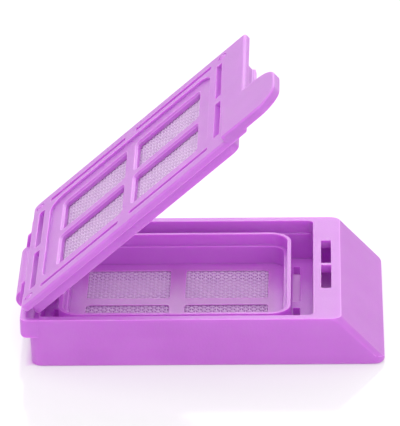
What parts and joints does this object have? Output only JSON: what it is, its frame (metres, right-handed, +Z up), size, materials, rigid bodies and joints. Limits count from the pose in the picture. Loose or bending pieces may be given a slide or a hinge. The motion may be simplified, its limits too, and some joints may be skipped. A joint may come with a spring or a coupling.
{
  "type": "tissue cassette",
  "caption": "Shallow moulded tissue cassette with a hinged mesh-windowed lid, thumb tab, sample well and sloped writing end, lid part open.",
  "frame": {"origin": "on the table plane, under the centre of the sample well", "axes": "+X from the hinge to the writing slope, +Y across the cassette, +Z up; the lid turns about -Y to open"},
  "size_m": [0.0415, 0.0286, 0.0326],
  "materials": {
    "plastic": "satin moulded acetal, lilac",
    "mesh": "fine woven nylon mesh, near white"
  },
  "bodies": {
    "base": {"base": "plastic", "base_mesh": "mesh"},
    "lid": {"lid": "plastic", "lid_mesh": "mesh"}
  },
  "joints": [
    {"name": "lid_hinge", "type": "hinge", "parent": "base", "child": "lid", "pos_m": [-0.0169, 0, 0.00475], "axis": [0, -1, 0], "range_deg": [-41, 139]}
  ]
}
